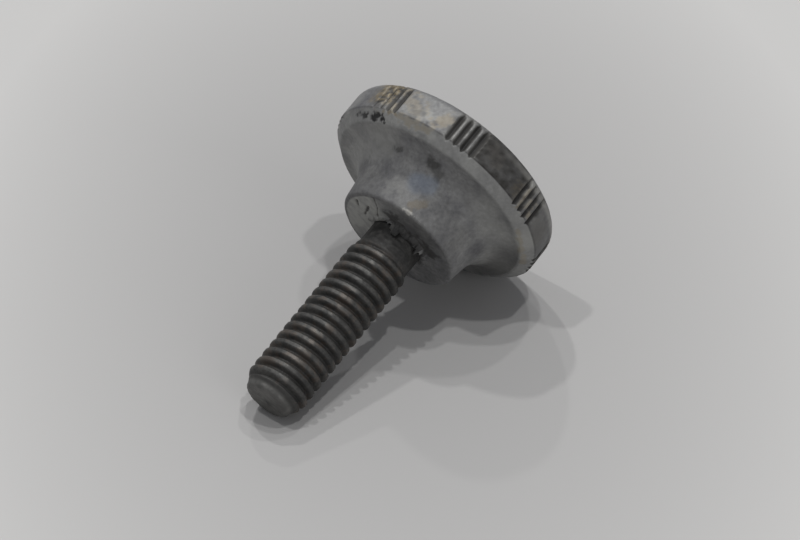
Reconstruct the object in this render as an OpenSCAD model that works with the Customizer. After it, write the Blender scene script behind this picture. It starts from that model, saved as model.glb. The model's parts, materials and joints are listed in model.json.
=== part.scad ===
// Cover thumb screw, lying on a table: a die-cast grip head with grooved rim
// and trumpet-shaped hub, and a steel stud with a 5/16-18 thread cast into it.
//
// Each piece is drawn upright about the Z axis, with the hub's end face at
// z = 0, the head above it and the stud below it. lie_down() then tips the
// finished screw over until the front edge of the grip band and the stud's
// end both touch the table at z = 0.

/* [Grip head] */
// Diameter over the grip band
head_d = 29.5; // [27:0.5:34]
// Length of the head, from its flat back to the hub's end face
head_len = 12.5; // [11:0.5:16]
// Length of the grip band along the axis, with its rounded back edge
band_len = 4.5; // [3:0.25:6]
// Radius of the rounded back edge
back_round = 1.5; // [0.5:0.1:2]
// Width across the radius of the bevel in front of the band
bevel_w = 1.4; // [0.8:0.1:2]
// Length along the axis of the bevel in front of the band
bevel_len = 1.3; // [0.8:0.1:2]

/* [Hub] */
// Diameter of the hub at its end face
hub_d = 16; // [14:0.5:18]
// Length of the hub's straight side, from its end face to the flare
hub_len = 2.6; // [1:0.1:3.5]
// Draft angle of the hub's side
hub_draft = 8; // [2:1:12]
// Bevel on the hub's edge
hub_edge = 0.4; // [0.2:0.1:0.8]

/* [Grip grooves] */
// Number of groove groups round the band
groove_groups = 8; // [4:1:10]
// Number of grooves in a group
grooves_per_group = 4; // [2:1:5]
// Spacing of the grooves in a group, along the band
groove_pitch = 1.16; // [1.06:0.02:1.3]
// Width of a V groove at the band's surface
groove_w = 1; // [0.5:0.02:1.04]
// Depth of a V groove
groove_depth = 0.5; // [0.2:0.05:0.8]
// Turn of the first group away from the band's lowest point
groove_turn = 26.25; // [15:0.25:30]

/* [Threaded stud] */
// Major diameter of the thread, 5/16 in
thread_d = 7.94; // [7:0.01:9]
// Pitch of the thread, 18 turns to the inch
thread_pitch = 1.411; // [1:0.001:1.6]
// Length of the stud outside the hub
stud_len = 26.5; // [20:0.5:40]
// Length of the plain neck between the hub and the thread
neck_len = 3.8; // [1:0.1:8]
// Length of the tapered end beyond the last full thread
point_len = 2.3; // [1.5:0.1:3]
// Radius of the rounded edge round the stud's end
point_round = 0.6; // [0.3:0.1:0.9]

/* [Anchor in the head] */
// Length of the stud's plain end inside the head
anchor_len = 8.5; // [6:0.25:9.5]
// Width of each ring groove that locks the stud in the casting
ring_w = 1.2; // [0.6:0.1:1.5]
// Depth of the ring grooves
ring_depth = 0.5; // [0.2:0.1:0.8]
// Distance of each ring groove from its end of the anchor
ring_inset = 1.6; // [1:0.1:2]

/* [Hidden] */
$fn = 96;

// Overrun of a cutter past the surface that it opens
over = 0.5;

// Grip head: radii and heights
head_r = head_d / 2;
band_z = head_len - band_len;
bevel_r = head_r - bevel_w;
bevel_z = band_z - bevel_len;
hub_r = hub_d / 2;
hub_top_r = hub_r + hub_len * tan(hub_draft);

// Flare between hub and bevel: the circle that leaves the hub's side as its
// tangent and passes through the bevel's inner edge
flare_start = [hub_top_r, hub_len];
flare_end = [bevel_r, bevel_z];
flare_chord = flare_end - flare_start;
flare_normal = [cos(hub_draft), -sin(hub_draft)];
flare_r = (flare_chord * flare_chord) / (2 * flare_chord * flare_normal);
flare_centre = flare_start + flare_r * flare_normal;

// Grip grooves: angles between grooves and between groups
groove_step = groove_pitch / head_r * 180 / PI;
group_step = 360 / groove_groups;

// Stud: a rolled thread leaves the neck at about the pitch diameter, and the
// end is turned down to the thread's minor diameter
thread_r = thread_d / 2;
neck_r = thread_r - 0.325 * thread_pitch;
point_r = thread_r - 0.613 * thread_pitch;
point_z = -stud_len + point_len;

// Slope of the line under the screw, from the band's front edge to the
// stud's last full thread or to its end, whichever holds the stud up
lie_slope = min((head_r - thread_r) / (band_z - point_z),
                (head_r - point_r) / (band_z + stud_len - point_round));
lie_angle = atan(lie_slope);
lie_z = head_r * cos(lie_angle) - band_z * sin(lie_angle);

// Reach of the lying screw to either side of the hub's end face, which
// centres it over the origin
reach_back = (head_len - back_round) * cos(lie_angle)
    + (head_r - back_round) * sin(lie_angle) + back_round;
reach_front = (stud_len - point_round) * cos(lie_angle)
    + (point_r - point_round) * sin(lie_angle) + point_round;
lie_x = (reach_front - reach_back) / 2;

// Tips an upright screw over, so that its head points along +X
module lie_down() {
    translate([lie_x, 0, lie_z])
        rotate([0, 90 - lie_angle, 0])
            children();
}

// Half section of the head, with the radius along X and the axis along Y
module head_section() {
    difference() {
        union() {
            polygon([
                [0, 0],
                [hub_r - hub_edge, 0],
                [hub_r + hub_edge * tan(hub_draft), hub_edge],
                flare_start,
                flare_end,
                [head_r, band_z],
                [head_r, head_len - back_round],
                [head_r - back_round, head_len],
                [0, head_len]
            ]);
            translate([head_r - back_round, head_len - back_round])
                circle(r = back_round);
        }
        flare_cut();
    }
}

// Sliver between the flare's chord and its arc
module flare_cut() {
    intersection() {
        translate(flare_centre)
            circle(r = flare_r);
        polygon([flare_start, flare_end, [0, bevel_z], [0, hub_len]]);
    }
}

// One V groove along the band, open at the back and running out on the bevel
module groove() {
    translate([0, 0, bevel_z])
        linear_extrude(height = head_len - bevel_z + over)
            polygon([
                [head_r - groove_depth, 0],
                [head_r + over, groove_w / 2 * (1 + over / groove_depth)],
                [head_r + over, -groove_w / 2 * (1 + over / groove_depth)]
            ]);
}

// All grooves, in evenly spaced groups
module grooves() {
    for (group = [0 : groove_groups - 1])
        for (i = [0 : grooves_per_group - 1])
            rotate([0, 0, groove_turn + group * group_step
                    + (i - (grooves_per_group - 1) / 2) * groove_step])
                groove();
}

// Half section of the stud's plain end, which the casting grips
module anchor_section() {
    ring_z = [ring_inset, anchor_len - ring_inset - ring_w];
    difference() {
        square([neck_r, anchor_len]);
        for (z = ring_z)
            translate([neck_r - ring_depth, z])
                square([ring_depth + over, ring_w]);
    }
}

// Half section of the stud outside the hub
module stud_section() {
    union() {
        polygon([
            [0, 0],
            [neck_r, 0],
            [neck_r, -neck_len],
            [thread_r, -neck_len - (thread_r - neck_r)],
            [thread_r, point_z],
            [point_r, -stud_len + point_round],
            [point_r - point_round, -stud_len],
            [0, -stud_len]
        ]);
        translate([point_r - point_round, -stud_len + point_round])
            circle(r = point_round);
    }
}

module grip_head() {
    color("#9a9b98")
        lie_down()
            difference() {
                rotate([0, 0, 180])
                    rotate_extrude()
                        head_section();
                rotate_extrude()
                    anchor_section();
                grooves();
            }
}

module threaded_stud() {
    color("#4b4a47")
        lie_down()
            union() {
                rotate_extrude()
                    anchor_section();
                rotate_extrude()
                    stud_section();
            }
}

grip_head();
threaded_stud();
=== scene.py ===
"""Looks of a cover thumb screw: a die-cast grip head on a rolled steel stud.

Lengths are in millimetres until ScrewAxis.place() turns them into the frame's
metres. Each piece is built upright in the screw's own frame: the hub's end
face is at height 0, the head above it and the stud below it. Angle 0 faces
the table and angles grow towards the frame's +Y.
"""

import json
import logging
import math
from dataclasses import dataclass, field
from enum import Enum
from typing import Any, Callable, Sequence

import bpy
import numpy as np
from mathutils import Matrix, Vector, noise


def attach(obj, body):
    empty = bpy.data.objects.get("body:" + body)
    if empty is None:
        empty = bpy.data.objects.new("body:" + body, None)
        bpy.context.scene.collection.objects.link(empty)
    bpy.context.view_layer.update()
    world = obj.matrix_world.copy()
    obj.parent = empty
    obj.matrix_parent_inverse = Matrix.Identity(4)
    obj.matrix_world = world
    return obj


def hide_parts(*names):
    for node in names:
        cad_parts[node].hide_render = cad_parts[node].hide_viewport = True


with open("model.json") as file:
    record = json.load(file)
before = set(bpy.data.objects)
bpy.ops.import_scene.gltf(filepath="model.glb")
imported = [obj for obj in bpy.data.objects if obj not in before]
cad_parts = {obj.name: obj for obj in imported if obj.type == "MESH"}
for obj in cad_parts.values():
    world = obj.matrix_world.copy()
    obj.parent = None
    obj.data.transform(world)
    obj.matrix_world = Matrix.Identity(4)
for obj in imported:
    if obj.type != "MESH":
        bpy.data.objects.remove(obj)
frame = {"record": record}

LOG = logging.getLogger("cover_thumb_screw")
MM = 0.001

# Least distance that a piece keeps inside its solid where the part is widest
INSET = 0.004
# Keeps a division by a length safe
TINY = 1e-9

# Sockets of Blender's mix node, for two colours and for two plain values
COLOUR_A, COLOUR_B, COLOUR_OUT = 6, 7, 2
VALUE_A, VALUE_B, VALUE_OUT = 2, 3, 0

Array = np.ndarray
Point = tuple[float, float]
Polar = tuple[float, float, float]
Way = Callable[[float], Point]


class Layer(Enum):
    """What lies on the bare metal, and the light, shade and highlights painted on it, each kept as
    one value per mesh point.
    """

    # Rubs, and painted highlights and painted light
    POLISH_AND_HIGHLIGHT = "polish"
    # Dirt, and painted shade
    GRIME_AND_SHADE = "grime"
    # Varnish and rust, and painted warm highlights
    AMBER_AND_WARM_HIGHLIGHT = "amber"
    # Pale oxide and flash, and painted light and a painted highlight
    CHALK_AND_LIGHT = "chalk"
    # Black scuffs and dirt, and painted shade at the bottoms of the grooves
    SOOT_AND_SHADE = "soot"
    # A painted bluish reflection
    TINT = "tint"


class Zone(Enum):
    """The surfaces of the head, in the order in which its section meets them."""

    BACK = 0
    EDGE = 1
    BAND = 2
    BEVEL = 3
    FLARE = 4
    HUB = 5
    FACE = 6
    POCKET = 7


# Band and its rounded back edge, and all that the grooves cut into
BAND = (Zone.EDGE, Zone.BAND)
GROOVED = (Zone.EDGE, Zone.BAND, Zone.BEVEL)

# Unevenness of the casting along its normal: slow waves and quick grain
UNEVEN = {
    Zone.BACK: (0.02, 0.01),
    Zone.EDGE: (0.02, 0.015),
    Zone.BAND: (0.03, 0.02),
    Zone.BEVEL: (0.04, 0.02),
    Zone.FLARE: (0.05, 0.015),
    Zone.HUB: (0.05, 0.02),
    Zone.FACE: (0.06, 0.04),
    Zone.POCKET: (0.0, 0.0),
}


def linear(hex_colour: str) -> tuple[float, float, float, float]:
    """Turns an sRGB hex colour into linear RGBA.

    Args:
        hex_colour: Colour as "#rrggbb".

    Returns:
        Linear red, green and blue, and an alpha of 1.
    """
    channels = [int(hex_colour[i : i + 2], 16) / 255 for i in (1, 3, 5)]
    red, green, blue = [
        c / 12.92 if c <= 0.04045 else ((c + 0.055) / 1.055) ** 2.4 for c in channels
    ]
    return red, green, blue, 1.0


def add_node(
    tree: bpy.types.NodeTree,
    kind: str,
    settings: dict[str, Any] | None = None,
    inputs: dict[str | int, Any] | None = None,
) -> bpy.types.Node:
    """Adds a node, sets it up and links it.

    Args:
        tree: Node tree that gets the node.
        kind: Blender's name of the node type.
        settings: Values of the node's own properties.
        inputs: Values or output sockets for its inputs, by name or index.

    Returns:
        The new node.
    """
    node = tree.nodes.new(kind)
    for name, value in (settings or {}).items():
        setattr(node, name, value)
    for name, value in (inputs or {}).items():
        if isinstance(value, bpy.types.NodeSocket):
            tree.links.new(value, node.inputs[name])
        else:
            node.inputs[name].default_value = value
    return node


def empty_material(name: str) -> bpy.types.Material:
    """Makes a material that has no nodes yet."""
    made = bpy.data.materials.new(name)
    made.use_nodes = True
    made.node_tree.nodes.clear()
    return made


def smooth(low: float, high: float, value: Array) -> Array:
    """Eases value from 0 at low to 1 at high, and high may be the smaller one."""
    t = np.clip((value - low) / (high - low), 0.0, 1.0)
    return t * t * (3.0 - 2.0 * t)


def soft_min(a: Array, b: Array, blend: float) -> Array:
    """Smaller of a and b, with the crossing rounded over about blend."""
    gap = np.clip(np.abs(a - b) / blend, 0.0, 1.0)
    return np.minimum(a, b) - blend * (1.0 - gap) ** 2 / 4.0


def seeded_noise(points: Array, size: float, octaves: int, seed: float) -> Array:
    """Noise on a cloud of points, each finer layer half as wide and half as strong.

    Args:
        points: Points in millimetres, one a row.
        size: Width of the noise's largest lumps, in millimetres.
        octaves: How many layers are added up.
        seed: Picks another part of the noise.

    Returns:
        One value from about -1 to 1 for each point.
    """
    seed_step, fall, finer = 17.3, 1.0, 2.0
    return np.array(
        [
            noise.fractal(Vector(p), fall, finer, octaves)
            for p in (points / size + seed * seed_step).tolist()
        ]
    )


def polar_points(radius: Array, degrees: Array, height: Array) -> Array:
    """Points, or one point, in the screw's frame from radius, angle and height."""
    angle = np.radians(degrees)
    return np.stack([radius * np.cos(angle), radius * np.sin(angle), height], axis=-1)


def straight(a: Point, b: Point) -> Way:
    """Straight way from a to b."""
    return lambda t: (a[0] + (b[0] - a[0]) * t, a[1] + (b[1] - a[1]) * t)


def rounded(a: Point, corner: Point, b: Point) -> Way:
    """Way from a to b that rounds off the corner between them."""
    return lambda t: tuple(
        (1 - t) ** 2 * p + 2 * t * (1 - t) * q + t * t * r for p, q, r in zip(a, corner, b)
    )


def arc(centre: Point, radius: float, start: float, stop: float) -> Way:
    """Way along a circle, between two angles in radians."""
    return lambda t: (
        centre[0] + radius * math.cos(start + (stop - start) * t),
        centre[1] + radius * math.sin(start + (stop - start) * t),
    )


def new_object(
    name: str,
    points: Array,
    faces: Sequence[Sequence[int]],
    layers: dict[Layer, Array],
    material: bpy.types.Material,
) -> bpy.types.Object:
    """Makes a smooth mesh object whose points carry the layers' values.

    Args:
        name: Name of the object.
        points: Points in the frame's metres.
        faces: Corner indices of each face, counter-clockwise from outside.
        layers: What lies on the surface, per point; points past its end are bare.
        material: Finish of the whole piece.

    Returns:
        The object, linked to the scene.
    """
    mesh = bpy.data.meshes.new(name)
    mesh.from_pydata(points.tolist(), [], faces)
    mesh.polygons.foreach_set("use_smooth", [True] * len(mesh.polygons))
    for layer, values in layers.items():
        amount = np.zeros(len(points), np.float32)
        amount[: len(values)] = np.clip(values, 0.0, 1.0)
        mesh.attributes.new(layer.value, "FLOAT", "POINT").data.foreach_set("value", amount)
    mesh.materials.append(material)
    mesh.update()
    made = bpy.data.objects.new(name, mesh)
    bpy.context.scene.collection.objects.link(made)
    return made


@dataclass(frozen=True)
class ScrewAxis:
    """Where the screw lies: the centre of its hub's end face and its axis."""

    centre: Vector
    towards_back: Vector

    @classmethod
    def from_record(cls, record: dict[str, Any]) -> "ScrewAxis":
        """Reads the axis from the hub face's mount.

        Args:
            record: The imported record.

        Returns:
            The screw's axis in the frame.
        """
        mount = next(m for m in record["mounts"] if m["name"] == "hub_face")
        place = Vector(mount["pos_m"])
        return cls(Vector((place.x, 0.0, place.z)), -Vector(mount["axis"]).normalized())

    def place(self, points: Array) -> Array:
        """Moves upright points in millimetres into the frame's metres.

        Args:
            points: Points in the screw's own frame, one a row.

        Returns:
            The same points in the frame.
        """
        side = Vector((0.0, 1.0, 0.0))
        down = side.cross(self.towards_back)
        turn = np.array([down, side, self.towards_back])
        return np.array(self.centre) + points * MM @ turn


@dataclass(frozen=True)
class Span:
    """A stretch of some measure, with eased ends.

    It eases in from low to full and out from fade to gone, by default out of
    reach. With full below low it covers what lies under them.
    """

    low: float
    full: float
    fade: float = 1e6
    gone: float = 2e6

    def cover(self, value: Array) -> Array:
        """Eases from 0 outside the stretch to 1 inside it, for each value."""
        return smooth(self.low, self.full, value) * smooth(self.gone, self.fade, value)


@dataclass(frozen=True)
class Surface:
    """A piece's surface: for each point its place and what decides its looks.

    points and outward are places and normals, one a row. turn is in degrees,
    height is on the stud the way along its outline, sunk the depth in a
    groove or in the thread, and beside the degrees to the nearest group of
    grooves. clouds, grain and crumbs are noises, from slow to quick.
    """

    points: Array
    outward: Array
    turn: Array
    height: Array
    sunk: Array
    clouds: Array
    grain: Array
    crumbs: Array | None = None
    beside: Array | None = None
    zone: Array | None = None


@dataclass(frozen=True)
class Wash:
    """A thin cover over wide stretches: dirt, oxide, varnish and rubs, and also painted light and
    shade.

    It lies in its zones, or everywhere, where all its spans cover the
    surface; flecks spans clouds and grain together. cloudy and grainy say how
    far those noises sway its strength. A wash without a layer moves the
    surface, by its strength in millimetres.
    """

    layer: Layer | None
    strength: float
    zones: tuple[Zone, ...] = ()
    cloudy: float = 0.0
    grainy: float = 0.0
    turn: Span | None = None
    height: Span | None = None
    sunk: Span | None = None
    beside: Span | None = None
    clouds: Span | None = None
    grain: Span | None = None
    flecks: Span | None = None
    crumbs: Span | None = None

    def amount(self, surface: Surface) -> Array:
        """How much of the wash lies on each point.

        Args:
            surface: The piece's surface.

        Returns:
            The amount for each point.
        """
        most = 0.5
        made = self.strength + self.cloudy * np.clip(surface.clouds, -most, most)
        made = made + self.grainy * np.clip(surface.grain, -most, most)
        for span, measure in (
            (self.turn, surface.turn),
            (self.height, surface.height),
            (self.sunk, surface.sunk),
            (self.beside, surface.beside),
            (self.clouds, surface.clouds),
            (self.grain, surface.grain),
            (self.flecks, surface.clouds + surface.grain),
            (self.crumbs, surface.crumbs),
        ):
            if span:
                made = made * span.cover(measure)
        if self.zones:
            made = made * np.isin(surface.zone, [zone.value for zone in self.zones])
        return made


@dataclass(frozen=True)
class Blemish:
    """A mark along a line on the surface: dents, lumps, stains and rubs, and also painted
    highlights, shadows and reflections.
    """

    start: Polar
    end: Polar
    width: float
    layer: Layer
    strength: float
    rise: float = 0.0
    ragged: float = 0.35

    def reach(self, surface: Surface) -> Array:
        """How far the mark covers each point.

        Args:
            surface: The piece's surface, whose grain frays the mark's outline.

        Returns:
            Values from 0 outside to 1 in the middle of the mark.
        """
        core, fray, most = 0.35, 1.6, 0.8
        start = polar_points(*self.start)
        line = polar_points(*self.end) - start
        from_start = surface.points - start
        along = np.clip(from_start @ line / max(float(line @ line), TINY), 0.0, 1.0)
        away = np.linalg.norm(from_start - along[:, None] * line, axis=1)
        away = away + self.ragged * self.width * np.clip(fray * surface.grain, -most, most)
        return 1.0 - smooth(core * self.width, self.width, away)


@dataclass(frozen=True)
class Film:
    """How one layer looks where it covers the metal; metal None leaves that as it is."""

    layer: Layer
    colour: str
    roughness: float
    metal: float | None = None


@dataclass(frozen=True)
class Pattern:
    """A noise in the metal's skin: width of its lumps, finer detail and roughness."""

    size_mm: float
    detail: float
    roughness: float = 0.5


@dataclass(frozen=True)
class UsedMetal:
    """A metal with clouds and grain in its skin, under films of dirt and rubs and of painted light
    and shade.
    """

    name: str
    dark: str
    pale: str
    roughness: float
    metal: float
    clouds: Pattern
    cloud_range: tuple[float, float]
    grain: Pattern
    grain_contrast: float
    grain_depth_mm: float
    films: tuple[Film, ...]
    bump_strength: float = 0.5

    def material(self) -> bpy.types.Material:
        """Builds the bare metal under its films, each as thick as its layer says.

        Returns:
            The material.
        """
        made = empty_material(self.name)
        tree = made.node_tree
        place = add_node(tree, "ShaderNodeTexCoord").outputs["Object"]
        clouds, grain = (
            add_node(
                tree,
                "ShaderNodeTexNoise",
                inputs={
                    "Vector": place,
                    "Scale": 1 / (pattern.size_mm * MM),
                    "Detail": pattern.detail,
                    "Roughness": pattern.roughness,
                },
            ).outputs["Fac"]
            for pattern in (self.clouds, self.grain)
        )
        low, high = self.cloud_range
        spread = add_node(
            tree,
            "ShaderNodeMapRange",
            inputs={"Value": clouds, "From Min": low, "From Max": high},
        ).outputs["Result"]
        colour = add_node(
            tree,
            "ShaderNodeMix",
            {"data_type": "RGBA"},
            {"Factor": spread, COLOUR_A: linear(self.dark), COLOUR_B: linear(self.pale)},
        ).outputs[COLOUR_OUT]
        colour = add_node(
            tree,
            "ShaderNodeMix",
            {"data_type": "RGBA", "blend_type": "OVERLAY"},
            {"Factor": self.grain_contrast, COLOUR_A: colour, COLOUR_B: grain},
        ).outputs[COLOUR_OUT]
        rough: Any = self.roughness
        metal: Any = self.metal
        for film in self.films:
            amount = add_node(
                tree, "ShaderNodeAttribute", {"attribute_name": film.layer.value}
            ).outputs["Fac"]
            colour = add_node(
                tree,
                "ShaderNodeMix",
                {"data_type": "RGBA"},
                {"Factor": amount, COLOUR_A: colour, COLOUR_B: linear(film.colour)},
            ).outputs[COLOUR_OUT]
            rough, metal = (
                under
                if over is None
                else add_node(
                    tree, "ShaderNodeMix", inputs={"Factor": amount, VALUE_A: under, VALUE_B: over}
                ).outputs[VALUE_OUT]
                for under, over in ((rough, film.roughness), (metal, film.metal))
            )
        bump = add_node(
            tree,
            "ShaderNodeBump",
            inputs={
                "Height": grain,
                "Distance": self.grain_depth_mm * MM,
                "Strength": self.bump_strength,
            },
        ).outputs["Normal"]
        shader = add_node(
            tree,
            "ShaderNodeBsdfPrincipled",
            inputs={"Base Color": colour, "Roughness": rough, "Metallic": metal, "Normal": bump},
        ).outputs["BSDF"]
        add_node(tree, "ShaderNodeOutputMaterial", inputs={"Surface": shader})
        return made


@dataclass(frozen=True)
class DieCastAlloy(UsedMetal):
    """Die-cast light alloy, left as it came out of the die and then handled."""

    # The skin from the die gives the eye soft grey clouds and a fine grain
    # that blurs reflections. Rubbed crests are bare and bright; dirt, varnish
    # and oxide dull the rest in patches. The films also carry painted light,
    # shade and highlights, and one is a painted bluish reflection.
    name: str = "die_cast_alloy"
    dark: str = "#6b6b6d"
    pale: str = "#8b8b8a"
    roughness: float = 0.66
    metal: float = 0.42
    clouds: Pattern = Pattern(3.2, 5.0, 0.6)
    cloud_range: tuple[float, float] = (0.35, 0.65)
    # The real grain is about 0.1 mm wide, and is drawn this coarse to show
    grain: Pattern = Pattern(0.45, 3.0)
    grain_contrast: float = 0.42
    grain_depth_mm: float = 0.05
    films: tuple[Film, ...] = (
        # The first film is a painted bluish reflection
        Film(Layer.TINT, "#74859d", 0.6, 0.4),
        Film(Layer.CHALK_AND_LIGHT, "#a6a6a2", 0.62, 0.3),
        Film(Layer.AMBER_AND_WARM_HIGHLIGHT, "#87754f", 0.5, 0.45),
        Film(Layer.GRIME_AND_SHADE, "#2a2825", 0.6, 0.25),
        Film(Layer.POLISH_AND_HIGHLIGHT, "#b5b3ad", 0.45, 0.7),
        Film(Layer.SOOT_AND_SHADE, "#1b1b1b", 0.7, 0.0),
    )


@dataclass(frozen=True)
class RolledSteel(UsedMetal):
    """Low-carbon steel with a rolled thread, oiled dark and rubbed on its crests."""

    # Rolling leaves smooth flanks, so the dark oil film still shows the eye
    # soft highlights along each turn. The crests are rubbed paler, and the
    # roots hold black dirt and a trace of rust. The pale film also paints a
    # highlight along one side of the crests and light on the end.
    name: str = "rolled_steel"
    dark: str = "#363635"
    pale: str = "#4a4947"
    roughness: float = 0.58
    metal: float = 0.45
    clouds: Pattern = Pattern(2.0, 4.0)
    cloud_range: tuple[float, float] = (0.38, 0.62)
    # The real scale is finer than 0.1 mm, and is drawn this coarse to show
    grain: Pattern = Pattern(0.3, 3.0)
    grain_contrast: float = 0.6
    grain_depth_mm: float = 0.03
    films: tuple[Film, ...] = (
        Film(Layer.POLISH_AND_HIGHLIGHT, "#767572", 0.48),
        Film(Layer.AMBER_AND_WARM_HIGHLIGHT, "#68523f", 0.55),
        Film(Layer.GRIME_AND_SHADE, "#242322", 0.6),
    )


@dataclass(frozen=True)
class TablePaper:
    """Matt paper on the table, with painted shade in an oval middle that fades to the paler rest.
    """

    # Uncoated paper scatters light evenly, so the eye sees no gloss at all.
    # The slow change from the greyer middle to the paler rest is painted shade.
    near: str = "#acabaa"
    far: str = "#cac9c7"
    middle_mm: tuple[float, float] = (11.8, 4.9)
    oval_mm: tuple[float, float] = (59.0, 95.0)
    turn: float = -52.3
    roughness: float = 0.9
    specular: float = 0.1

    def material(self) -> bpy.types.Material:
        """Builds the paper.

        Returns:
            The material.
        """
        made = empty_material("matt_paper")
        tree = made.node_tree
        place = add_node(
            tree,
            "ShaderNodeMapping",
            {"vector_type": "TEXTURE"},
            {
                "Vector": add_node(tree, "ShaderNodeTexCoord").outputs["Object"],
                "Location": (self.middle_mm[0] * MM, self.middle_mm[1] * MM, 0.0),
                "Rotation": (0.0, 0.0, math.radians(self.turn)),
                "Scale": (self.oval_mm[0] * MM, self.oval_mm[1] * MM, 1.0),
            },
        ).outputs["Vector"]
        away = add_node(
            tree, "ShaderNodeVectorMath", {"operation": "DOT_PRODUCT"}, {0: place, 1: place}
        ).outputs["Value"]
        spread = add_node(tree, "ShaderNodeClamp", inputs={"Value": away}).outputs["Result"]
        colour = add_node(
            tree,
            "ShaderNodeMix",
            {"data_type": "RGBA"},
            {"Factor": spread, COLOUR_A: linear(self.near), COLOUR_B: linear(self.far)},
        ).outputs[COLOUR_OUT]
        shader = add_node(
            tree,
            "ShaderNodeBsdfPrincipled",
            inputs={
                "Base Color": colour,
                "Roughness": self.roughness,
                "Specular IOR Level": self.specular,
            },
        ).outputs["BSDF"]
        add_node(tree, "ShaderNodeOutputMaterial", inputs={"Surface": shader})
        return made


def cover_surface(
    surface: Surface, washes: Sequence[Wash], films: Sequence[Film]
) -> tuple[dict[Layer, Array], Array]:
    """Adds up all washes on a surface.

    Args:
        surface: The piece's surface.
        washes: What covers it.
        films: The finish's films, whose layers are filled in.

    Returns:
        A value for each point and layer, and the rise of each point.
    """
    layers = {film.layer: np.zeros(len(surface.turn)) for film in films}
    rise = np.zeros(len(surface.turn))
    for wash in washes:
        if wash.layer is None:
            rise += wash.amount(surface)
        else:
            layers[wash.layer] += wash.amount(surface)
    return layers, rise


def closed_faces(grid: Array, per_turn: int = 0, start: int = 0) -> list[list[int]]:
    """Faces between rows of points round the axis, with a fan in each end's middle.

    Args:
        grid: Index of each point, row by row. The fans' middles follow the last one.
        per_turn: 0 where a row closes on itself, or the rows in a helix's turn.
        start: Corner that each face starts with, which sets where it folds.

    Returns:
        Corner indices of each face.
    """
    rows = len(grid)
    right = np.roll(grid, -1, axis=1)
    right[per_turn:, -1] = grid[: rows - per_turn, 0]
    sides = np.stack([grid[:-1], grid[1:], right[1:], right[:-1]], axis=-1)
    closed = np.ones(sides.shape[:2], dtype=bool)
    closed[:per_turn, -1] = False
    first = [*grid[0].tolist(), *grid[1 : per_turn + 1, -1].tolist()]
    last = [*grid[-1].tolist(), *grid[rows - 1 - per_turn : rows - 1, 0].tolist()]
    fans = [[grid.size, a, b] for a, b in zip(first, first[1:] + first[:1])]
    fans += [[grid.size + 1, b, a] for a, b in zip(last, last[1:] + last[:1])]
    return [
        *np.roll(sides[closed], -start, axis=-1).tolist(),
        *np.roll(fans, -start, axis=-1).tolist(),
    ]


# Stretches of the casting, in degrees and millimetres: near a group of
# grooves, black with tar and a painted dark reflection, rubbed on the bevel
# with a painted highlight on the back edge, crusted, and painted light on
# the upper flare
GROUPED = Span(1.0, -1.0)
TAR_AND_DARK_REFLECTION = Span(212, 216, 241, 245)
RUB_AND_EDGE_HIGHLIGHT = Span(212, 250, 285, 310)
CRUST = {"zones": BAND, "turn": Span(146, 154, 163, 167), "height": Span(8.3, 9.2)}
PAINTED_FLARE_LIGHT = {"zones": (Zone.FLARE,), "height": Span(4.2, 5.4)}

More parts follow.
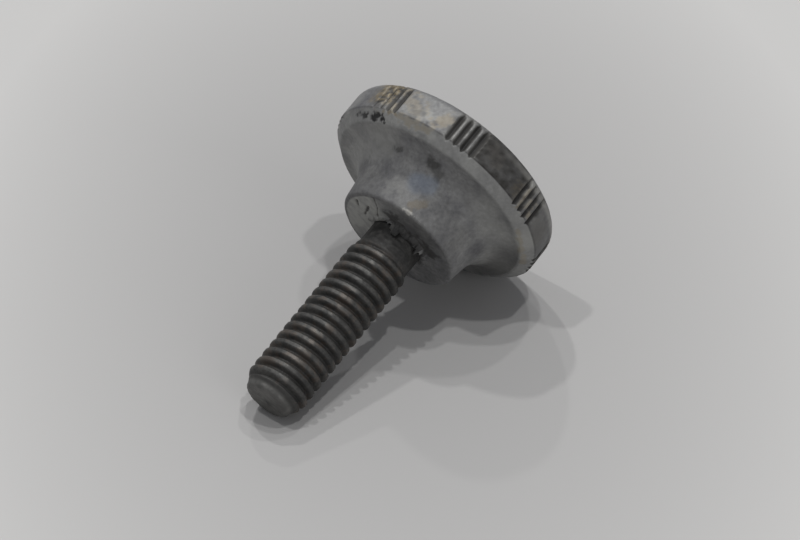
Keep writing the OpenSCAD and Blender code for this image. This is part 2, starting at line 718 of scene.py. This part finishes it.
CAST_WASHES = (
    # Dirt and painted shade in the grooves, painted black shade at their bottoms, and darker round
    # each group
    Wash(Layer.GRIME_AND_SHADE, 1.0, GROOVED, sunk=Span(0.05, 0.55)),
    Wash(Layer.SOOT_AND_SHADE, 0.7, GROOVED, sunk=Span(0.45, 0.8)),
    Wash(Layer.GRIME_AND_SHADE, 0.26, BAND, beside=GROUPED),
    Wash(Layer.GRIME_AND_SHADE, 0.25, BAND, beside=GROUPED, grain=Span(-0.2, 0.4)),
    # Rubs on the ridges and on the band's plain stretches, and a painted highlight along its back
    # edge
    Wash(Layer.POLISH_AND_HIGHLIGHT, 0.16, BAND, beside=GROUPED, sunk=Span(0.22, 0.0), grain=Span(0.4, -0.2)),
    Wash(Layer.POLISH_AND_HIGHLIGHT, 0.12, BAND, clouds=Span(-0.2, 0.5)),
    Wash(Layer.POLISH_AND_HIGHLIGHT, -0.12, BAND, clouds=Span(-0.2, 0.5), turn=TAR_AND_DARK_REFLECTION),
    Wash(Layer.POLISH_AND_HIGHLIGHT, 0.3, BAND, turn=RUB_AND_EDGE_HIGHLIGHT, height=Span(10.9, 11.15, 11.6, 12.0)),
    # Tar with a painted dark reflection, a darker stretch from 255 to 350 degrees, and flecks
    # between the groups
    Wash(Layer.GRIME_AND_SHADE, 0.855, BAND, grainy=0.285, turn=TAR_AND_DARK_REFLECTION),
    Wash(Layer.GRIME_AND_SHADE, 0.496, BAND, cloudy=0.496, turn=Span(255, 262, 330, 350)),
    Wash(Layer.GRIME_AND_SHADE, 0.45, BAND, turn=Span(171, 174, 196, 199), flecks=Span(-0.1, 0.6)),
    # Crumbled varnish over the first grooves of one group
    Wash(None, -0.09, crumbs=Span(0.3, -0.3), **CRUST),
    Wash(Layer.AMBER_AND_WARM_HIGHLIGHT, 0.95, crumbs=Span(-0.3, 0.1), **CRUST),
    Wash(Layer.GRIME_AND_SHADE, 0.55, crumbs=Span(0.0, -0.35), **CRUST),
    Wash(Layer.POLISH_AND_HIGHLIGHT, 0.22, crumbs=Span(0.2, 0.45), **CRUST),
    # Pale bevel
    Wash(Layer.CHALK_AND_LIGHT, 0.28, (Zone.BEVEL,), cloudy=0.24),
    Wash(Layer.CHALK_AND_LIGHT, 0.21, (Zone.BEVEL,), cloudy=0.18, turn=RUB_AND_EDGE_HIGHLIGHT),
    # Painted light on the upper flare, less of it from 160 to 245 degrees; dirt; painted shade on
    # the flare's outer ring from 268 to 350 degrees and on the lit foot of the flare and the hub
    Wash(Layer.CHALK_AND_LIGHT, 0.36, cloudy=0.36, **PAINTED_FLARE_LIGHT),
    Wash(Layer.CHALK_AND_LIGHT, -0.306, cloudy=-0.306, turn=Span(160, 180, 220, 245), **PAINTED_FLARE_LIGHT),
    Wash(Layer.GRIME_AND_SHADE, 0.1, (Zone.FLARE,), flecks=Span(0.1, 0.6)),
    Wash(Layer.GRIME_AND_SHADE, 0.38, (Zone.FLARE,), turn=Span(268, 288, 335, 350), height=Span(4.9, 6.3)),
    Wash(Layer.GRIME_AND_SHADE, 0.28, (Zone.FLARE, Zone.HUB), turn=Span(280, 250), height=Span(5.0, 3.0)),
    # Hub face: pale on one side; dirt all over, and on the other side painted shadow of the stud
    # over dirt
    Wash(Layer.CHALK_AND_LIGHT, 0.9, (Zone.FACE,), grainy=0.6, turn=Span(60, 90, 150, 185)),
    Wash(Layer.GRIME_AND_SHADE, 0.08, (Zone.FACE,)),
    Wash(Layer.GRIME_AND_SHADE, 0.32, (Zone.FACE,), turn=Span(165, 200, 242, 266)),
)

# Each mark: its two ends as radius, angle and height, its width, layer and
# strength, and where they matter its rise and how ragged it is
CAST_MARKS = (
    # Black scuffs on the bevel
    Blemish((13.9, 142, 7.15), (14.0, 151, 7.25), 0.42, Layer.SOOT_AND_SHADE, 0.9, -0.06, 1.2),
    Blemish((13.8, 151, 7.1), (13.9, 165, 7.2), 0.42, Layer.SOOT_AND_SHADE, 1.0, -0.08, 1.4),
    # Dark spots on the flare
    Blemish((10.8, 197, 6.15), (10.65, 199, 6.0), 1.05, Layer.GRIME_AND_SHADE, 0.72, -0.03, 0.3),
    Blemish((10.6, 199, 6.0), (10.1, 206, 5.6), 1.1, Layer.GRIME_AND_SHADE, 0.5, -0.02, 0.3),
    Blemish((10.3, 168, 5.8), (10.4, 173, 5.85), 0.42, Layer.GRIME_AND_SHADE, 0.6, -0.02, 0.7),
    # Pits and a crack on the hub's face
    Blemish((6.95, 136, 0), (6.4, 130, 0), 0.3, Layer.GRIME_AND_SHADE, 0.9, -0.15),
    Blemish((5.7, 146, 0), (5.0, 122, 0), 0.22, Layer.GRIME_AND_SHADE, 0.9, -0.12),
    Blemish((7.6, 167, 0), (5.8, 164, 0), 0.15, Layer.GRIME_AND_SHADE, 0.65, -0.05, 0.5),
    Blemish((5.8, 164, 0), (4.2, 150, 0), 0.15, Layer.GRIME_AND_SHADE, 0.75, -0.05, 0.5),
    # Flash squeezed up round the stud, chipped and dirty
    Blemish((3.8, 180, 0), (3.8, 192, 0), 0.3, Layer.CHALK_AND_LIGHT, 0.2, 0.25, 0.3),
    Blemish((3.78, 188, 0), (3.8, 203, 0), 0.3, Layer.CHALK_AND_LIGHT, 0.5, 0.6, 0.3),
    Blemish((3.85, 254, 0), (3.9, 264, 0), 0.32, Layer.CHALK_AND_LIGHT, 0.4, 0.6, 0.3),
    Blemish((3.8, 203, 0), (3.9, 253, 0), 0.75, Layer.SOOT_AND_SHADE, 0.8, 0.75, 0.45),
    Blemish((4.0, 268, 0), (4.0, 318, 0), 0.6, Layer.GRIME_AND_SHADE, 0.6, 0.25, 0.4),
    Blemish((4.0, 120, 0), (4.0, 174, 0), 0.5, Layer.GRIME_AND_SHADE, 0.5, 0.25, 0.4),
    # Painted shadow of the stud over dirt, on the hub face
    Blemish((4.8, 188, 0), (5.0, 262, 0), 1.6, Layer.GRIME_AND_SHADE, 0.75, 0.06, 0.5),
    # Marks on the band: varnish on the first grooves, oxide and painted light beside them, and
    # painted warm highlights further on
    Blemish((14.75, 158, 9.6), (14.75, 166, 8.6), 1.3, Layer.AMBER_AND_WARM_HIGHLIGHT, 0.5, 0, 0.9),
    Blemish((14.3, 160, 12.1), (14.75, 166, 11.0), 1.0, Layer.AMBER_AND_WARM_HIGHLIGHT, 0.5, 0, 0.9),
    # Pale patches between two groups: oxide and painted reflected light
    Blemish((14.75, 177, 9.6), (14.75, 192, 9.6), 2.2, Layer.CHALK_AND_LIGHT, 0.22, 0, 0.6),
    Blemish((14.75, 185, 9.4), (14.75, 189, 9.2), 0.9, Layer.CHALK_AND_LIGHT, 0.55, 0, 0.5),
    Blemish((14.75, 191, 9.0), (14.75, 196, 10.2), 1.0, Layer.AMBER_AND_WARM_HIGHLIGHT, 0.35, 0, 0.6),
    Blemish((14.75, 172, 10.4), (14.75, 180, 9.0), 1.2, Layer.AMBER_AND_WARM_HIGHLIGHT, 0.28, 0, 0.9),
    Blemish((14.2, 171, 7.5), (14.2, 190, 7.5), 1.0, Layer.CHALK_AND_LIGHT, 0.6, 0, 1.0),
    Blemish((14.4, 174, 7.8), (14.4, 188, 7.8), 0.8, Layer.AMBER_AND_WARM_HIGHLIGHT, 0.3, 0, 1.2),
    Blemish((14.75, 219, 10.6), (14.75, 224, 10.0), 1.2, Layer.AMBER_AND_WARM_HIGHLIGHT, 0.15, 0, 0.6),
    # Painted warm highlights on the ridges of the group near 250 degrees
    Blemish((14.75, 244, 9.4), (14.75, 253, 9.4), 1.3, Layer.AMBER_AND_WARM_HIGHLIGHT, 0.45, 0, 0.8),
    Blemish((14.75, 247, 9.8), (14.75, 252, 9.4), 0.7, Layer.POLISH_AND_HIGHLIGHT, 0.18, 0, 0.9),
    Blemish((13.7, 262, 7.0), (13.8, 292, 7.1), 0.5, Layer.AMBER_AND_WARM_HIGHLIGHT, 0.3, 0, 0.5),
    # Painted highlights on the hub edge and on the flare's foot, and a painted bluish reflection
    # above them
    Blemish((8.0, 199, 0.3), (8.02, 210, 0.3), 0.24, Layer.POLISH_AND_HIGHLIGHT, 0.85, 0, 0.9),
    Blemish((8.1, 203, 1.0), (8.3, 209, 2.2), 0.8, Layer.AMBER_AND_WARM_HIGHLIGHT, 0.3, 0, 0.5),
    Blemish((8.3, 177, 1.9), (8.4, 184, 2.4), 1.3, Layer.CHALK_AND_LIGHT, 0.3, 0, 0.5),
    Blemish((8.7, 195, 3.8), (8.9, 204, 4.2), 1.7, Layer.TINT, 0.34, 0, 0.12),
)


@dataclass(frozen=True)
class Groove:
    """One V groove of the band: its angle, and its half width and depth."""

    centre: float
    half_width: float
    depth: float


@dataclass
class GripHead:
    """The die-cast head: back, grooved band, bevel, flare, hub and stud pocket.

    corner_round and foot_round round off the corners at the bevel; root_round,
    crest_round and lip_round the grooves' bottoms, ridges and edges.
    """

    head_r: float = 14.75
    head_len: float = 12.5
    band_len: float = 4.5
    back_round: float = 1.5
    bevel_w: float = 1.4
    bevel_len: float = 1.3
    corner_round: float = 0.12
    foot_round: float = 0.2
    hub_r: float = 8.0
    hub_len: float = 2.6
    hub_draft: float = 8.0
    hub_edge: float = 0.4
    pocket_r: float = 3.53
    pocket_len: float = 8.5
    groups: int = 8
    per_group: int = 4
    groove_pitch: float = 1.16
    groove_w: float = 1.0
    groove_depth: float = 0.5
    root_round: float = 0.05
    crest_round: float = 0.05
    lip_round: float = 0.06
    first_group: float = 26.25
    seed: int = 5
    finish: DieCastAlloy = field(default_factory=DieCastAlloy)

    @property
    def group_step(self) -> float:
        """Degrees from one group of grooves to the next."""
        return 360 / self.groups

    @property
    def half_group(self) -> float:
        """Degrees from the middle of a group to its end."""
        return math.degrees(self.groove_pitch / self.head_r) * self.per_group / 2

    def grooves(self) -> list[Groove]:
        """Places the grooves, each a little off its neighbour's place, width and depth.

        Returns:
            The grooves in order of angle.
        """
        dice = np.random.RandomState(self.seed)
        off_place, off_width, off_depth = 0.2, 0.07, 0.08
        # Share of its depth that wear has left each groove of these groups,
        # and the degrees by which a group as a whole is off its place
        worn = {3: (0.25, 0.4, 0.8, 0.8), 4: (0.9, 1.0, 1.1, 0.95)}
        slipped = {3: 1.0}
        unworn = (1.0,) * self.per_group
        step = math.degrees(self.groove_pitch / self.head_r)
        made = []
        for group in range(self.groups):
            middle = self.first_group + group * self.group_step + slipped.get(group, 0.0)
            for i in range(self.per_group):
                wobble, wide, deep = dice.uniform(-1.0, 1.0, 3)
                keep = worn.get(group, unworn)[i]
                off_middle = (i - (self.per_group - 1) / 2) * step
                made.append(
                    Groove(
                        middle + off_middle + off_place * wobble,
                        self.groove_w / 2 * (1 + off_width * wide) * (1 + keep) / 2,
                        self.groove_depth * (1 + off_depth * deep) * keep,
                    )
                )
        return made

    def columns(self, grooves: list[Groove]) -> Array:
        """Angles of the mesh's columns: close across a groove, wider elsewhere.

        Args:
            grooves: The band's grooves.

        Returns:
            Rising angles in degrees, from 0 to under 360.
        """
        plain_columns, least_step = 21, 0.09
        flank = np.array([0.1, 0.28, 0.56, 0.84, 1.0, 1.2])
        across = np.concatenate([-flank[::-1], flank])
        near = [g.centre + math.degrees(g.half_width / self.head_r) * across for g in grooves]
        between = np.linspace(self.half_group, self.group_step - self.half_group, plain_columns)
        plain = [
            self.first_group + group * self.group_step + between for group in range(self.groups)
        ]
        angles = np.sort(np.concatenate(near + plain) % 360.0)
        keep = np.diff(angles, append=angles[0] + 360.0) > least_step
        return angles[keep]

    def section(self) -> tuple[Array, Array]:
        """Half section of the head, from the middle of its back to its pocket.

        Returns:
            Radius and height of each point, and the number of its zone. Points
            are closer where the outline bends or is marked.
        """
        widening = math.tan(math.radians(self.hub_draft))
        band_z = self.head_len - self.band_len
        inner, round_z = self.head_r - self.back_round, self.head_len - self.back_round
        corner = np.array([self.head_r, band_z])
        outer = corner - np.array([self.bevel_w, self.bevel_len])
        slope = (outer - corner) / np.linalg.norm(outer - corner)
        over, under = (self.head_r, band_z + self.corner_round), corner + self.corner_round * slope
        centre, radius = self.flare()
        hub_top = (self.hub_r + self.hub_len * widening, self.hub_len)
        first = math.atan2(outer[1] - centre[1], outer[0] - centre[0]) + self.foot_round / radius
        stop = math.atan2(self.hub_len - centre[1], hub_top[0] - centre[0])
        curve = arc(centre, radius, first, stop)
        near = outer - self.foot_round * slope
        hub_low = (self.hub_r + self.hub_edge * widening, self.hub_edge)
        rim, mouth = (self.hub_r - self.hub_edge, 0.0), (self.pocket_r, 0.0)
        across, crowding = straight(rim, mouth), 1.5

        stretches = (
            (Zone.BACK, straight((0.0, self.head_len), (inner, self.head_len)), 15),
            (Zone.EDGE, arc((inner, round_z), self.back_round, math.pi / 2, 0.0), 9),
            (Zone.BAND, straight((self.head_r, round_z), over), 14),
            (Zone.BAND, rounded(over, corner, under), 3),
            (Zone.BEVEL, straight(under, near), 11),
            (Zone.BEVEL, rounded(near, outer, curve(0.0)), 4),
            (Zone.FLARE, curve, 40),
            (Zone.HUB, straight(hub_top, hub_low), 12),
            (Zone.HUB, rounded(hub_low, (self.hub_r, 0.0), rim), 5),
            (Zone.FACE, lambda t: across(1.0 - (1.0 - t) ** crowding), 30),
            (Zone.POCKET, straight(mouth, (self.pocket_r, self.pocket_len)), 4),
        )
        path = [way(i / steps) for _, way, steps in stretches for i in range(1, steps + 1)]
        zones = [zone.value for zone, _, steps in stretches for _ in range(steps)]
        return np.array(path), np.array(zones)

    def flare(self) -> tuple[Point, float]:
        """Circle of the flare, which leaves the hub's side as its tangent.

        Returns:
            The circle's centre and its radius.
        """
        draft = math.radians(self.hub_draft)
        start = np.array([self.hub_r + self.hub_len * math.tan(draft), self.hub_len])
        end = np.array(
            [self.head_r - self.bevel_w, self.head_len - self.band_len - self.bevel_len]
        )
        normal = np.array([math.cos(draft), -math.sin(draft)])
        chord = end - start
        radius = float(chord @ chord / (2 * chord @ normal))
        return tuple(start + radius * normal), radius

    def groove_floor(self, angles: Array, grooves: list[Groove]) -> Array:
        """Radius that the grooves' flanks leave at each angle.

        Args:
            angles: Angles in degrees.
            grooves: The band's grooves.

        Returns:
            Radii in millimetres, well outside the band where there is no groove.
        """
        left = np.full(angles.shape, 2 * self.head_r)
        for groove in grooves:
            off = (angles - groove.centre + 180.0) % 360.0 - 180.0
            along = np.hypot(np.radians(off) * self.head_r, self.root_round)
            flank = self.head_r + groove.depth * (along / groove.half_width - 1.0)
            left = soft_min(left, flank, self.crest_round)
        return left

    def surface(self, angles: Array, grooves: list[Groove]) -> Surface:
        """Turns the section round the axis and cuts the grooves.

        Args:
            angles: Angles of the mesh's columns.
            grooves: The band's grooves.

        Returns:
            The surface, row by row from the middle of the back.
        """
        path, zones = self.section()
        rows, count = len(path), len(angles)
        along = np.gradient(path, axis=0)
        along /= np.linalg.norm(along, axis=1)[:, None]
        radius, height, out_r, out_z, zone = (
            np.repeat(values[:, None], count, axis=1)
            for values in (path[:, 0], path[:, 1], -along[:, 1], along[:, 0], zones)
        )
        turn = np.tile(angles, (rows, 1))
        floor = np.tile(self.groove_floor(angles, grooves), (rows, 1))
        grooved = np.isin(zone, [z.value for z in GROOVED])
        cut = np.where(grooved, soft_min(radius, floor, self.lip_round), radius)
        points = polar_points(cut, turn, height).reshape(-1, 3)
        half_step = self.group_step / 2
        in_group = (turn.ravel() - self.first_group + half_step) % self.group_step - half_step
        return Surface(
            points,
            polar_points(out_r, turn, out_z).reshape(-1, 3),
            turn.ravel(),
            height.ravel(),
            (radius - cut).ravel() / self.groove_depth,
            clouds=seeded_noise(points, 3.5, 2, 2.0),
            grain=seeded_noise(points, 0.8, 3, 1.0),
            crumbs=seeded_noise(points, 0.45, 2, 3.0),
            beside=np.abs(in_group) - self.half_group,
            zone=zone.ravel(),
        )

    def build(self, axis: ScrewAxis) -> bpy.types.Object:
        """Builds and dresses the head.

        Args:
            axis: Where the screw lies.

        Returns:
            The head's object, in place of the frame's head.
        """
        grooves = self.grooves()
        angles = self.columns(grooves)
        surface = self.surface(angles, grooves)
        layers, rise = cover_surface(surface, CAST_WASHES, self.finish.films)
        rise += self.unevenness(surface)
        for mark in CAST_MARKS:
            reach = mark.reach(surface)
            reach[surface.zone == Zone.POCKET.value] = 0.0
            rise += mark.rise * reach
            layers[mark.layer] = np.maximum(layers[mark.layer], mark.strength * reach)
        points = surface.points + surface.outward * rise[:, None]
        ends = np.array([[0.0, 0.0, self.head_len], [0.0, 0.0, self.pocket_len]])
        made = new_object(
            "die_cast_head",
            axis.place(np.concatenate([points, ends])),
            closed_faces(np.arange(len(points)).reshape(-1, len(angles)), start=1),
            layers,
            self.finish.material(),
        )
        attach(made, "root")
        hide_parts("grip_head")
        return made

    def unevenness(self, surface: Surface) -> Array:
        """Unevenness of the cast skin, in millimetres along the normal.

        Args:
            surface: The head's surface.

        Returns:
            The rise of each point, never outwards where the head is widest.
        """
        slow, quick = np.array([UNEVEN[zone] for zone in Zone]).T
        rise = slow[surface.zone] * surface.clouds + quick[surface.zone] * surface.grain
        return np.where(surface.zone <= Zone.BEVEL.value, -np.abs(rise) - INSET, rise)


@dataclass
class ThreadedStud:
    """The steel stud: plain neck, rolled thread, tapered and rounded end.

    The thread grows out of the neck from run_in before its end to run_out
    after it. end_gap is what the rows leave open in the middle of the end.
    """

    thread_r: float = 3.97
    pitch: float = 1.411
    crest_w: float = 0.5
    root_w: float = 0.2
    crest_round: float = 0.2
    root_round: float = 0.22
    merge_round: float = 0.05
    length: float = 26.5
    neck_len: float = 3.8
    neck_r: float = 3.511
    run_in: float = 0.9
    run_out: float = 0.7
    point_len: float = 2.3
    point_r: float = 3.105
    point_round: float = 0.6
    end_gap: float = 0.08
    inside: float = 2.8
    start_turn: float = 195.0
    columns: int = 108
    clouds_deep: float = 0.03
    grain_deep: float = 0.05
    finish: RolledSteel = field(default_factory=RolledSteel)

    @property
    def phase(self) -> float:
        """Distance of a crest from the hub's end face, along the lowest line."""
        return (self.neck_len + self.pitch * (self.start_turn / 360 - 0.5)) % self.pitch

    @property
    def arc(self) -> float:
        """Length of the outline round the edge of the stud's end."""
        return self.point_round * math.pi / 2

    @property
    def growth(self) -> Span:
        """Where the thread grows out of the neck, along the outline."""
        return Span(self.neck_len - self.run_in, self.neck_len + self.run_out)

    def turn_rows(self) -> Array:
        """Places of the rows in one turn, as rising shares of the pitch from a crest."""
        half = np.array([0.0, 0.08, 0.13, 0.17, 0.21, 0.26, 0.31, 0.36, 0.4, 0.43, 0.465])
        return np.concatenate([half, 1.0 - half[:0:-1]])

    def thread(self, share: Array) -> Array:
        """Radius of the rolled thread, with flanks at 60 degrees to each other.

        Args:
            share: Place in the turn, as a share of the pitch from a crest.

        Returns:
            Radii in millimetres.
        """
        steepness = math.sqrt(3.0)
        off = np.abs((share + 0.5) % 1.0 - 0.5) * self.pitch
        flank = (off - self.crest_w / 2) * steepness
        root = (self.pitch - self.crest_w - self.root_w) / 2 * steepness
        depth = soft_min(flank, np.full_like(flank, root), self.root_round)
        depth = -soft_min(-depth, np.zeros_like(depth), self.crest_round)
        return self.thread_r - depth

    def meridian(self, way: Array) -> tuple[Array, Array]:
        """Outline of the turned blank, followed from inside the head to its end.

        Args:
            way: Distance along the outline from the hub's end face.

        Returns:
            Radius and distance from the hub's end face.
        """
        overrun = 0.2
        edge = self.length - self.point_round
        taper = smooth(self.length - self.point_len, edge + overrun, way)
        radius = self.thread_r - (self.thread_r - self.point_r) * taper
        bend = self.bend(way)
        radius = radius - self.point_round * (1 - np.cos(bend))
        depth = np.minimum(way, edge) + self.point_round * np.sin(bend)
        inward = np.clip(way - edge - self.arc, 0.0, None)
        return radius - inward, depth

    def bend(self, way: Array) -> Array:
        """Angle by which the outline has turned inwards at the end's rounded edge."""
        edge = self.length - self.point_round
        return np.clip((way - edge) / self.arc, 0.0, 1.0) * math.pi / 2

    def surface(self, places: Array) -> Surface:
        """Winds the outline and the thread round the axis.

        Args:
            places: Place of each row where it starts, in turns from a crest.

        Returns:
            The surface, row by row along the helix.
        """
        degrees = np.arange(self.columns) * 360.0 / self.columns
        starts = places * self.pitch + self.phase
        way = starts[:, None] - self.pitch * degrees[None, :] / 360.0
        radius, depth = self.meridian(way)
        cut = self.thread(np.repeat(places[:, None], self.columns, axis=1))
        body = self.neck_r + (cut - self.neck_r) * self.growth.cover(way)
        radius = soft_min(radius, body, self.merge_round)
        turn = np.tile(degrees, (len(places), 1))
        points = polar_points(radius, turn, -depth).reshape(-1, 3)
        bend = self.bend(way)
        return Surface(
            points,
            polar_points(np.cos(bend), turn, -np.sin(bend)).reshape(-1, 3),
            turn.ravel(),
            way.ravel(),
            self.thread_r - radius.ravel(),
            clouds=seeded_noise(points, 3.0, 2, 5.0),
            grain=seeded_noise(points, 0.7, 3, 4.0),
        )

    def washes(self) -> list[Wash]:
        """What covers the stud: rubs, dirt, rust, a painted highlight and painted light on the end.

        Returns:
            The washes, whose heights run along the outline from the hub.
        """
        # Where the thread fades out and the painted light on the end sets in, from the end
        fade, gone, end_light_low, end_light_full = (self.length - off for off in (1.2, 0.5, 1.6, 0.8))
        neck_ease, early = 1.2, 0.1
        threaded = Span(self.growth.low, self.growth.full, fade, gone)
        crest = {"height": threaded, "sunk": Span(0.3, 0.05)}
        neck = {
            "height": Span(self.neck_len, self.neck_len - neck_ease),
            "grain": Span(-0.7, 0.3),
        }
        end = Span(end_light_low, end_light_full)
        root = Span(self.thread_r - self.neck_r - early, self.thread_r - self.point_r - early)
        return [
            # Crests rubbed all round, a painted highlight along one side, and painted light on the
            # end
            Wash(Layer.POLISH_AND_HIGHLIGHT, 0.03, **crest),
            Wash(Layer.POLISH_AND_HIGHLIGHT, 0.18, flecks=Span(-0.3, 0.5), **crest),
            Wash(
                Layer.POLISH_AND_HIGHLIGHT, 0.4, turn=Span(190, 203, 210, 222), grain=Span(-0.3, 0.2), **crest
            ),
            Wash(Layer.POLISH_AND_HIGHLIGHT, 0.38, height=end),
            Wash(Layer.POLISH_AND_HIGHLIGHT, 0.2, height=end, flecks=Span(-0.5, 0.4)),
            # Dirt in the roots and on the neck, the neck darkened less on one side
            Wash(Layer.GRIME_AND_SHADE, 0.85, height=threaded, sunk=root),
            Wash(Layer.GRIME_AND_SHADE, 0.8, **neck),
            Wash(Layer.GRIME_AND_SHADE, -0.4, turn=Span(205, 235), **neck),
            # A trace of rust over the thread
            Wash(Layer.AMBER_AND_WARM_HIGHLIGHT, 0.22, height=threaded, flecks=Span(0.0, 0.6)),
        ]

    def build(self, axis: ScrewAxis) -> bpy.types.Object:
        """Builds and dresses the stud.

        Its rows follow the helix, so a crest is one clean line. They run on
        over the rounded end and wind in to the middle of the end face.

        Args:
            axis: Where the screw lies.

        Returns:
            The stud's object, in place of the frame's stud.
        """
        share = self.turn_rows()
        stop = self.length + self.arc + self.point_r - 2 * self.point_round - self.end_gap
        turns = np.arange(
            -math.ceil(self.inside / self.pitch) - 1, math.ceil(stop / self.pitch) + 1
        )
        places = (turns[:, None] + share[None, :]).ravel()
        starts = places * self.pitch + self.phase
        places = places[(starts > -self.inside) & (starts < stop)]
        surface = self.surface(places)
        layers, _ = cover_surface(surface, self.washes(), self.finish.films)
        sink = np.abs(self.grain_deep * surface.grain) + np.abs(self.clouds_deep * surface.clouds)
        points = surface.points - surface.outward * (INSET + sink)[:, None]
        # The open middle of the end face lies beside the axis, as its rows wind in
        beside, sunk = 0.05, 0.02
        ends = np.array([[0.0, 0.0, self.inside], [0.0, -beside, sunk - self.length]])
        made = new_object(
            "threaded_stud_steel",
            axis.place(np.concatenate([points, ends])),
            closed_faces(np.arange(len(points)).reshape(-1, self.columns), len(share)),
            layers,
            self.finish.material(),
        )
        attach(made, "root")
        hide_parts("threaded_stud")
        return made


@dataclass(frozen=True)
class Lamp:
    """A soft lamp, placed by the shadow that it throws.

    level is its share of a white table's brightness. shadow is how far a point
    one unit above the table throws its shadow, to the viewer's right and
    towards the viewer. size and distance are in metres.
    """

    name: str
    level: float
    shadow: tuple[float, float]
    size: float = 0.09
    distance: float = 2.5


@dataclass
class Studio:
    """Table, lamps, surrounding light and camera."""

    azimuth: float = -52.3
    elevation: float = 38.8
    distance_mm: float = 361.45
    aim_mm: tuple[float, float, float] = (-1.59, -1.64, -2.81)
    lens_mm: float = 135.0
    sensor_mm: float = 36.0
    seen_m: tuple[float, float] = (0.01, 10.0)
    ambient: float = 0.22
    sky: str = "#f7f9ff"
    table_mm: float = 3000.0
    paper: TablePaper = field(default_factory=TablePaper)
    lamps: tuple[Lamp, ...] = (
        Lamp("near_right_lamp", 0.155, (-0.24, -0.13)),
        Lamp("ceiling_lamp", 0.135, (-0.10, 0.12)),
        Lamp("left_lamp", 0.155, (0.35, -0.05)),
        Lamp("rear_left_lamp", 0.145, (0.20, 0.53)),
        Lamp("rear_right_lamp", 0.09, (-0.25, 0.38)),
        Lamp("far_rear_lamp", 0.06, (0.12, 1.08)),
        Lamp("pale_wall_behind_viewer", 0.058, (-1.5, -2.0), 1.5),
    )

    @property
    def near(self) -> Vector:
        """Level direction from the screw towards the viewer."""
        turn = math.radians(self.azimuth)
        return Vector((math.sin(turn), -math.cos(turn), 0.0))

    def build(self, axis: ScrewAxis) -> None:
        """Builds the studio round the screw.

        Args:
            axis: Where the screw lies.
        """
        self.table()
        self.world()
        for lamp in self.lamps:
            self.hang(lamp)
        self.camera(axis)

    def table(self) -> None:
        """Lays the paper under the screw."""
        half = self.table_mm / 2 * MM
        corners = np.array([[-half, -half, 0], [half, -half, 0], [half, half, 0], [-half, half, 0]])
        new_object("table_paper", corners, [(0, 1, 2, 3)], {}, self.paper.material())

    def world(self) -> None:
        """Fills the room with even light."""
        world = bpy.data.worlds.new("room")
        bpy.context.scene.world = world
        world.use_nodes = True
        tree = world.node_tree
        tree.nodes.clear()
        glow = add_node(
            tree,
            "ShaderNodeBackground",
            inputs={"Color": linear(self.sky), "Strength": self.ambient},
        ).outputs["Background"]
        add_node(tree, "ShaderNodeOutputWorld", inputs={"Surface": glow})

    def hang(self, lamp: Lamp) -> None:
        """Hangs one lamp and gives it the power for its level at the table.

        Args:
            lamp: The lamp to hang.
        """
        near = self.near
        right = Vector((-near.y, near.x, 0.0))
        way = Vector((0.0, 0.0, 1.0)) - right * lamp.shadow[0] - near * lamp.shadow[1]
        way.normalize()
        light = bpy.data.lights.new(lamp.name, "AREA")
        light.shape = "DISK"
        light.size = lamp.size
        light.energy = lamp.level * math.pi**2 * lamp.distance**2 / way.z
        self.put(light, way * lamp.distance, way)

    def camera(self, axis: ScrewAxis) -> None:
        """Sets up the camera.

        Args:
            axis: Where the screw lies.
        """
        lift = math.radians(self.elevation)
        back = self.near * math.cos(lift) + Vector((0.0, 0.0, math.sin(lift)))
        lens = bpy.data.cameras.new("camera")
        lens.lens = self.lens_mm
        lens.sensor_width = self.sensor_mm
        lens.clip_start, lens.clip_end = self.seen_m
        place = axis.centre + Vector(self.aim_mm) * MM + back * self.distance_mm * MM
        bpy.context.scene.camera = self.put(lens, place, back)

    def put(self, data: bpy.types.ID, place: Vector, back: Vector) -> bpy.types.Object:
        """Puts a lamp or the camera in its place.

        Args:
            data: The lamp or the camera.
            place: Where it stands.
            back: The direction that it turns its back to.

        Returns:
            Its object, linked to the scene.
        """
        made = bpy.data.objects.new(data.name, data)
        made.location = place
        made.rotation_mode = "QUATERNION"
        made.rotation_quaternion = back.to_track_quat("Z", "Y")
        bpy.context.scene.collection.objects.link(made)
        return made


def main() -> None:
    """Builds the screw's pieces and the studio."""
    logging.basicConfig(level=logging.INFO, format="%(name)s: %(message)s")
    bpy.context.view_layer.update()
    view = bpy.context.scene.view_settings
    view.view_transform = "Standard"
    axis = ScrewAxis.from_record(frame["record"])
    for piece in (GripHead(), ThreadedStud()):
        made = piece.build(axis)
        LOG.info("%s: %d faces", made.name, len(made.data.polygons))
    Studio().build(axis)
    bpy.context.view_layer.update()
    LOG.info("studio ready")


if __name__ == "__main__":
    main()
